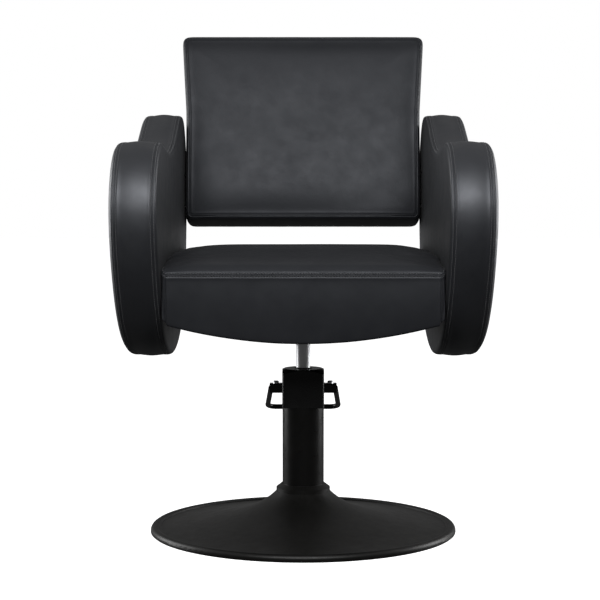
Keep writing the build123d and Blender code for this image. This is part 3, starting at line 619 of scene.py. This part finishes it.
def build_arm():
    """Rings of the right arm, from the middle of its inner face, over the band, to that of its outer face."""
    loop, normal, centre = arm_outline()
    loop = loop - normal * BAND_INSET
    seam_in, seam_out = seam_length(ARM_SEAM_IN, ARM_EDGE_IN), seam_length(ARM_SEAM_OUT, ARM_EDGE_OUT)
    inner_stations = [0.0, 3.2 * MM, *(seam_in + STEPS)]
    outer_stations = [0.0, 3.2 * MM, 6.4 * MM, *(seam_out + STEPS)]
    rings, free, to_in, to_out = [], [], [], []

    def put(yz, x, freedom, from_in, from_out):
        rings.append(np.column_stack([x, yz]))
        free.append(freedom)
        to_in.append(from_in)
        to_out.append(from_out)

    shares = [0.96, 0.9, 0.82, 0.73, 0.63, 0.53, 0.43, 0.33, 0.24, 0.16, 0.09, 0.04]
    inset = loop - normal * ARM_EDGE_IN
    for share in shares:
        yz = inset + (centre - inset) * share
        put(yz, inner_x(yz[:, 0]), 0.0, FAR, FAR)
    for station in inner_stations:
        d, w = edge_section(station, ARM_EDGE_IN)
        yz = loop - normal * d
        put(yz, inner_x(yz[:, 0]) + w, 0.0, station - seam_in, FAR)
    start_w = edge_section(inner_stations[-1], ARM_EDGE_IN)[1]
    end_w = edge_section(outer_stations[-1], ARM_EDGE_OUT)[1]
    for f in np.arange(1, 8) / 8:
        crown = BAND_CROWN * math.sin(math.pi * f)
        yz = loop + normal * crown
        low, high = inner_x(yz[:, 0]) + start_w, outer_x(yz[:, 0]) - end_w
        freedom = 0.35 + 0.65 * math.sin(math.pi * f)
        put(yz, low + (high - low) * f, freedom, FAR, FAR)
    for station in outer_stations[::-1]:
        d, w = edge_section(station, ARM_EDGE_OUT)
        yz = loop - normal * d
        put(yz, outer_x(yz[:, 0]) - w, 0.0, FAR, station - seam_out)
    inset = loop - normal * ARM_EDGE_OUT
    for share in shares[::-1]:
        yz = inset + (centre - inset) * share
        crown = PANEL_CROWN * math.sin(math.pi / 2 * min(1.0, share * 1.6))
        put(yz, outer_x(yz[:, 0]) + crown, min(1.0, share * 3), FAR, FAR)
    spread = [np.repeat(np.array(v), ARM_SAMPLES) for v in (free, to_in, to_out)]
    return np.array(rings), *spread


def make_arms():
    rings, free, to_in, to_out = build_arm()
    right = loft("arm_right", rings)
    inflate(right, free, ARM_SWELL, ARM_SAMPLES)
    shape = get_points(right.data)
    mirror = shape * np.array([-1.0, 1.0, 1.0])
    left = loft("arm_left", mirror.reshape(rings.shape))
    rows = []
    for distances in (to_in, to_out):
        for side in (-STITCH_ROW, STITCH_ROW):
            rows.append(np.flatnonzero(np.abs(distances - side) < 1e-7))
    for name, arm, seed in (("right", right, 3), ("left", left, 11)):
        hand_made(arm, [to_in, to_out], seed)
        sewn = get_points(arm.data)
        subdivide(arm)
        arm.data.materials.clear()
        arm.data.materials.append(leather["arm"])
        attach(arm, "seat")
        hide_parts(*[f"arm_{name}_{part}" for part in ("inner_panel", "outer_panel", "band")])
        lines = [(sewn[row], True) for row in rows]
        stitches(f"arm_{name}_stitching", arm, lines, black_thread)


make_arms()


# ---------------------------------------------------------------- seat
def seat_heights():
    """Height of the seat along its middle, and its fall towards a side, read from the CAD cushion."""
    cushion = tree_of("seat_cushion")
    low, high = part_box("seat_cushion")

    def above(x, y):
        return cushion.ray_cast(Vector((x, y, high.z + 0.1)), Vector((0, 0, -1)))[0].z

    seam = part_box("seat_front_panel")[1].z
    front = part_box("seat_front_panel")[0].y
    depths = np.linspace(front + 2 * MM, high.y - 4 * MM, 220)
    crown = np.array([above(0.0, y) for y in depths])
    depths = np.concatenate([[front], depths])
    crown = np.concatenate([[seam], crown])
    half = high.x
    middle = (low.y + high.y) / 2
    sides = np.array([3, 8, 15, 24, 35, 50, 70, 100, 140, 190, 225]) * MM
    across = np.array([above(seat_half(middle) - s, middle) for s in sides])
    share = (across - seam) / (above(0.0, middle) - seam)
    sides = np.concatenate([[0.0], sides, [half]])
    share = np.concatenate([[share[0] - 0.03], share, [1.0]])
    return front, seam, (depths, crown), (sides, share)


def seat_half(y):
    """Half the seat's width at a depth."""
    cos_in, sin_in = math.cos(ARM_TOE_IN), math.sin(ARM_TOE_IN)
    return (SEAT_REACH - y * sin_in) / cos_in


SEAT_REACH = reach(["seat_side_panels"], (math.cos(ARM_TOE_IN), math.sin(ARM_TOE_IN), 0))[1]


def build_seat():
    """Rings of the seat, from the middle of its top, over the seam, down the walls and up inside them."""
    front, seam, (depths, crown), (sides, share) = seat_heights()
    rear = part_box("seat_rear_panel")[1].y
    foot_low, foot_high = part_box("seat_front_panel")[0].z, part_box("seat_side_panels")[0].z
    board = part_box("seat_cushion")[0].z + 0.3 * MM
    fine = np.linspace(front, rear, 400)
    crown_fine = np.interp(fine, depths, crown)
    for window, begin in ((11, 8 * MM), (41, 40 * MM)):
        kernel = np.hanning(window) / np.hanning(window).sum()
        eased = np.convolve(np.pad(crown_fine, window // 2, mode="edge"), kernel, mode="valid")
        blend = smooth_step((fine - front - begin) / (2 * begin))
        crown_fine = crown_fine * (1 - blend) + eased * blend

    def top(xy):
        x, y = xy[:, 0], xy[:, 1]
        middle = np.interp(y, fine, crown_fine)
        past = np.clip((y - (rear - 14 * MM)) / (14 * MM), 0, 1)
        middle = middle - 12 * MM * (1 - np.sqrt(1 - past**2))
        aside = np.maximum(seat_half(y) - np.abs(x), 0.0)
        fall = 1 - (1 - SEAT_SIDE_FALL) * smooth_step((y - front) / (200 * MM))
        lean = 1 - (1 - np.interp(aside, sides, share)) * fall
        edge = np.clip(1 - aside / (12 * MM), 0, 1)
        drop = 8 * MM * (1 - np.sqrt(np.maximum(0.0, 1 - edge**2)))
        ahead = smooth_step((y - front) / (45 * MM))
        return seam + (middle - seam) * lean - drop * ahead

    def foot(xy):
        x, y = xy[:, 0], xy[:, 1]
        half = seat_half(y)
        arch = foot_low + (foot_high - SEAT_FOOT_R - foot_low) * np.minimum(1.0, np.abs(x) / half) ** 2
        near = np.clip((np.abs(x) - (half - SEAT_FOOT_R)) / SEAT_FOOT_R, 0, 1)
        return arch + SEAT_FOOT_R * (1 - np.sqrt(np.maximum(0.0, 1 - near**2)))

    wide_front, wide_rear = seat_half(front), seat_half(rear)
    corners = [(-wide_front, front), (wide_front, front), (wide_rear, rear), (-wide_rear, rear)]
    line = rounded(corners, [SEAT_PLAN_R, SEAT_PLAN_R, SEAT_REAR_R, SEAT_REAR_R])
    start = np.argmin(np.abs(line[:, 0]) + (line[:, 1] > 0) * 9)
    line = np.roll(line, -start, axis=0)
    line, lengths = along(line, True)
    whole = lengths[-1]
    tall = np.linspace(0, whole, 4000, endpoint=False)
    dense = at_lengths(line, lengths, tall)
    in_front = dense[:, 1] < front + SEAT_PLAN_R
    seams = []
    for side in (1, -1):
        gap = np.abs(seat_half(dense[:, 1]) - SEAT_CORNER_SEAM - side * dense[:, 0]) + 9 * ~in_front
        seams.append(tall[np.argmin(gap)])

    def beside_seams(where):
        """Distance round the plan from each place to the nearer upright seam."""
        return np.min([np.abs((where - s + whole / 2) % whole - whole / 2) for s in seams], axis=0)

    even = np.linspace(0, whole, SEAT_SAMPLES, endpoint=False)
    fine_steps = np.concatenate([STEPS, [-9 * MM]])
    near = [(s + fine_steps) % whole for s in seams]
    places = np.sort(np.concatenate([even[beside_seams(even) > 11 * MM], *near]))
    plan = at_lengths(line, lengths, places)
    ahead = at_lengths(line, lengths, (places + 1.5 * MM) % whole)
    behind = at_lengths(line, lengths, (places - 1.5 * MM) % whole)
    tangent = unit(ahead - behind)
    normal = np.column_stack([tangent[:, 1], -tangent[:, 0]])
    corner = beside_seams(places)
    around = len(places)
    facing = smooth_step((-normal[:, 1] - 0.5) / 0.4)
    rear_facing = smooth_step((normal[:, 1] - 0.5) / 0.4)

    rim = top(plan)
    rings, free, to_seam, to_corner = [], [], [], []

    def put(xy, z, freedom, from_seam, beside):
        rings.append(np.column_stack([xy, z]))
        free.append(np.broadcast_to(freedom, around))
        to_seam.append(np.broadcast_to(from_seam, around))
        to_corner.append(np.where(beside, corner, FAR))

    # the top, from its middle out to the shoulder
    inset = plan - normal * SEAT_SHOULDER
    target = np.column_stack([np.clip(inset[:, 0], -30 * MM, 30 * MM), np.full(around, (front + rear) / 2)])
    shares = [0.97, 0.9, 0.82, 0.73, 0.64, 0.55, 0.46, 0.38, 0.31, 0.25, 0.195, 0.15]
    for f in (*shares, 0.11, 0.078, 0.052, 0.03, 0.013):
        xy = inset + (target - inset) * f
        put(xy, top(xy), min(1.0, f * 5), FAR, False)
    # the curved shoulder, by length from the seam
    steps_in = np.concatenate([[0], np.linspace(0.02, 1, 60) ** 2]) * SEAT_SHOULDER
    heights = np.array([top(plan - normal * d) for d in steps_in])
    travel = np.hypot(np.diff(steps_in)[:, None], np.diff(heights, axis=0))
    travel = np.vstack([np.zeros(around), np.cumsum(travel, axis=0)])
    for wanted in (9.0, 6.0, 4.6, 3.8, 3.0, 2.2, 1.4, 0.7):
        d = np.array([np.interp(min(wanted * MM, t[-1] * wanted / 9.5), t, steps_in) for t in travel.T])
        xy = plan - normal * d[:, None]
        put(xy, top(xy), 0.0, wanted * MM, False)
    put(plan, rim, 0.0, 0.0, False)
    # the wall, down to its rounded foot
    low = foot(plan)
    for wanted in (0.7, 1.4, 2.2, 3.0, 3.8, 4.6, 6.0, 9.0):
        put(plan, rim - wanted * MM, 0.0, -wanted * MM, wanted > 1)
    wall_top, wall_low = rim - 9 * MM, low + SEAT_HEM_R
    pinned = np.where(corner < 9.5 * MM, 0.0, 1.0)
    for f in np.arange(1, 11) / 11:
        bulge = math.sin(math.pi * f) * (1.6 * MM * facing + 1.2 * MM * rear_facing) - SEAT_TAPER * f * facing
        put(plan + normal * bulge[:, None], wall_top + (wall_low - wall_top) * f,
            pinned * (facing + rear_facing) * math.sin(math.pi * f), FAR, True)
    plan = plan - normal * (SEAT_TAPER * facing)[:, None]
    for turn in (0.0, 30.0, 60.0, 90.0):
        d = SEAT_HEM_R * (1 - math.cos(math.radians(turn)))
        put(plan - normal * d, low + SEAT_HEM_R * (1 - math.sin(math.radians(turn))), 0.0, FAR, True)
    # under the edge and up inside, to a lid that rests on the board
    inside = plan - normal * SEAT_WALL
    put(inside, low, 0.0, FAR, False)
    put(inside, (low + board) / 2, 0.0, FAR, False)
    put(inside, np.full(around, board), 0.0, FAR, False)
    for f in (0.1, 0.3, 0.6, 0.9):
        put(inside + (target - inside) * f, np.full(around, board), 0.0, FAR, False)
    return np.array(rings), np.concatenate(free), np.concatenate(to_seam), np.concatenate(to_corner)


def make_seat():
    rings, free, to_seam, to_corner = build_seat()
    seat = loft("seat", rings)
    inflate(seat, free, SEAT_SWELL, rings.shape[1])
    hand_made(seat, [to_seam, to_corner], 5)
    sewn = get_points(seat.data).reshape(rings.shape)
    levels = to_seam.reshape(rings.shape[:2])[:, 0]
    subdivide(seat)
    seat.data.materials.clear()
    seat.data.materials.append(leather["seat"])
    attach(seat, "seat")
    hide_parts("seat_cushion", "seat_front_panel", "seat_side_panels", "seat_rear_panel")
    rows = [(sewn[int(np.argmin(np.abs(levels - side)))], True) for side in (STITCH_ROW, -STITCH_ROW)]
    stitches("seat_stitching", seat, rows, black_thread)


make_seat()


# ---------------------------------------------------------------- back
LEAN_UP = np.array([0.0, math.sin(RECLINE), math.cos(RECLINE)])
LEAN_REAR = np.array([0.0, math.cos(RECLINE), -math.sin(RECLINE)])
SIDE = np.array([1.0, 0.0, 0.0])


def build_back():
    """Rings of the back: from the middle of its front, over the border, to the middle of its rear."""
    nodes = ["back_cushion", "back_border", "back_rear_panel"]
    front, rear = reach(nodes, LEAN_REAR)
    low, high = reach(nodes, LEAN_UP)
    high += BACK_TALLER
    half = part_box("back_cushion")[1].x + BACK_WIDER
    waist = half - BACK_WIDER - BACK_FLARE
    wider = low + BACK_WAIST
    corners = [(-waist, low), (waist, low), (waist, wider), (half, high), (-half, high), (-waist, wider)]
    line = rounded(corners, [BACK_CORNER, BACK_CORNER, 0.4, BACK_CORNER, BACK_CORNER, 0.4])
    start = np.argmin(np.abs(line[:, 0]) + (line[:, 1] > (low + high) / 2) * 9)
    line, lengths = along(np.roll(line, -start, axis=0), True)
    loop = at_lengths(line, lengths, np.arange(BACK_SAMPLES) * lengths[-1] / BACK_SAMPLES)
    loop = soften(loop, 1)
    normal = outward(loop)
    centre = np.array([0.0, (low + high) / 2])
    rings, free, to_front, to_rear = [], [], [], []

    def dish(xh):
        """How far the front falls back near its top, its bottom and its sides."""
        above = np.clip(1 - (high - xh[:, 1]) / BACK_TOP_FALL[0], 0, 1)
        below = np.clip(1 - (xh[:, 1] - low) / BACK_FOOT_FALL[0], 0, 1)
        between = np.clip(1 - (xh[:, 1] - low) / BACK_ARM_REACH, 0, 1)
        aside = np.clip(1 - (waist - np.abs(xh[:, 0])) / ((26 + 70 * between) * MM), 0, 1)
        ends = BACK_TOP_FALL[1] * above**2.2 + BACK_FOOT_FALL[1] * below**2.4
        return ends + (1.5 + 9 * between) * MM * aside**2.2

    def put(xh, depth, freedom, from_front, from_rear):
        rings.append(xh[:, :1] * SIDE + xh[:, 1:] * LEAN_UP + depth[:, None] * LEAN_REAR)
        free.append(np.full(BACK_SAMPLES, freedom))
        to_front.append(np.full(BACK_SAMPLES, from_front))
        to_rear.append(np.full(BACK_SAMPLES, from_rear))

    def drawn_in(d):
        """The outline drawn in by a distance, parallel to itself and without crossing at its corners."""
        near = min(d, 9 * MM)
        inner = loop - normal * near - centre
        return centre + inner * (1 - (d - near) / np.array([half, (high - low) / 2]))

    seam = edge_length(BACK_SEAM_IN)
    border = rear - front - 2 * BACK_EDGE
    inset = drawn_in(BACK_INSET)
    ends = [BACK_EDGE * 1.25, BACK_EDGE * 1.57]
    shares = (0.96, 0.9, 0.82, 0.73, 0.64, 0.55, 0.46, 0.38, 0.3, 0.23, 0.17, 0.12, 0.08, 0.045, 0.02)
    for f in shares:
        xh = inset + (centre - inset) * f
        put(xh, front + dish(xh), min(1.0, f * 6), FAR, FAR)
    before = np.array([-13.0, -9.0]) * MM
    for station in (*(before + seam), *(STEPS[:-2] + seam), *ends):
        d, w = back_edge(station)
        xh = drawn_in(d)
        put(xh, front + dish(xh) + w, 0.0, station - seam, FAR)
    for f in np.arange(1, 8) / 8:
        xh = loop + normal * (BACK_CROWN * math.sin(math.pi * f))
        depth = front + BACK_EDGE + dish(xh) * (1 - f) + border * f
        put(xh, depth, math.sin(math.pi * f), FAR, FAR)
    for station in (*ends[::-1], *(seam + STEPS[-2:0:-1])):
        d, w = back_edge(station)
        put(drawn_in(d), np.full(BACK_SAMPLES, rear - w), 0.0, FAR, station - seam)
    for f in shares[::-1]:
        xh = inset + (centre - inset) * f
        put(xh, np.full(BACK_SAMPLES, rear + BACK_REAR_CROWN * min(1.0, f * 2)), min(1.0, f * 6), FAR, FAR)
    return np.array(rings), np.concatenate(free), np.concatenate(to_front), np.concatenate(to_rear)


def back_edge(length):
    """(inset, depth) at a length along the back's rounded edge, from the face outwards."""
    turn = np.clip(length / BACK_EDGE, 0.0, math.pi / 2)
    before = max(0.0, -length)
    return BACK_EDGE * (1 - math.sin(turn)) + before, BACK_EDGE * (1 - math.cos(turn))


def edge_length(inset):
    return BACK_EDGE * math.asin(1 - inset / BACK_EDGE)


def make_back():
    rings, free, to_front, to_rear = build_back()
    back = loft("back", rings)
    inflate(back, free, BACK_SWELL, rings.shape[1])
    hand_made(back, [to_front, to_rear], 8, stitched=False, soft=0.25)
    subdivide(back)
    back.data.materials.clear()
    back.data.materials.append(leather["back"])
    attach(back, "seat")
    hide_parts("back_cushion", "back_border", "back_rear_panel")


make_back()


# ---------------------------------------------------------------- studio
def softbox(name, place, aim, size, power):
    data = bpy.data.lights.new(name, "AREA")
    data.shape = "RECTANGLE"
    data.size, data.size_y = size
    data.energy = power
    light = bpy.data.objects.new(name, data)
    light.location = place
    light.rotation_euler = (Vector(aim) - Vector(place)).to_track_quat("-Z", "Y").to_euler()
    bpy.context.scene.collection.objects.link(light)


def make_world():
    """White surroundings for the camera. As a light on the chair they are dim, and dimmer in front and below."""
    world = bpy.data.worlds.new("studio")
    world.use_nodes = True
    bpy.context.scene.world = world
    tree = world.node_tree
    tree.nodes.clear()
    place = tree.nodes.new("ShaderNodeTexCoord")
    split = tree.nodes.new("ShaderNodeSeparateXYZ")
    depth = map_range(tree, -0.6, 0.5, 0.13, 0.2)
    height = map_range(tree, -0.35, 0.0, 0.35, 1.0)
    both = tree.nodes.new("ShaderNodeMath")
    both.operation = "MULTIPLY"
    around = tree.nodes.new("ShaderNodeBackground")
    seen = tree.nodes.new("ShaderNodeBackground")
    seen.inputs["Color"].default_value = (1.0, 1.0, 1.0, 1.0)
    rays = tree.nodes.new("ShaderNodeLightPath")
    mix = tree.nodes.new("ShaderNodeMixShader")
    out = tree.nodes.new("ShaderNodeOutputWorld")
    for source, target in (
        (place.outputs["Generated"], split.inputs[0]),
        (split.outputs["Y"], depth.inputs["Value"]),
        (split.outputs["Z"], height.inputs["Value"]),
        (depth.outputs["Result"], both.inputs[0]),
        (height.outputs["Result"], both.inputs[1]),
        (both.outputs["Value"], around.inputs["Strength"]),
        (rays.outputs["Is Camera Ray"], mix.inputs[0]),
        (around.outputs[0], mix.inputs[1]),
        (seen.outputs[0], mix.inputs[2]),
        (mix.outputs[0], out.inputs["Surface"]),
    ):
        tree.links.new(source, target)


def make_floor():
    side = 14.0
    corners = np.array([(-side, -side, 0), (side, -side, 0), (side, side, 0), (-side, side, 0)], float)
    floor = mesh_object("floor", corners, [(0, 1, 2, 3)])
    made = Nodes("pale_floor")
    made.constants(Base_Color=(0.92, 0.92, 0.92, 1.0), Roughness=0.9, Specular_IOR_Level=0.1,
                   Emission_Color=(1.0, 1.0, 1.0, 1.0), Emission_Strength=0.85)
    floor.data.materials.append(made.finish())
    floor.visible_diffuse = False
    floor.visible_glossy = False


def make_sun():
    """A very wide, soft light from above that keeps the floor even."""
    data = bpy.data.lights.new("sky", "SUN")
    data.energy = 0.4
    data.angle = math.radians(100)
    light = bpy.data.objects.new("sky", data)
    light.location = (0.0, 0.0, 5.0)
    bpy.context.scene.collection.objects.link(light)


make_world()
make_floor()
make_sun()
softbox("key", (0.0, -1.9, 1.6), (0, 0, 0.78), (1.9, 0.8), 38)
for side_name, side_x in (("left", -2.8), ("right", 2.8)):
    softbox(side_name, (side_x, 1.1, 0.9), (0, 0, 0.3), (1.6, 1.8), 54)

bpy.context.scene.view_settings.view_transform = "Standard"
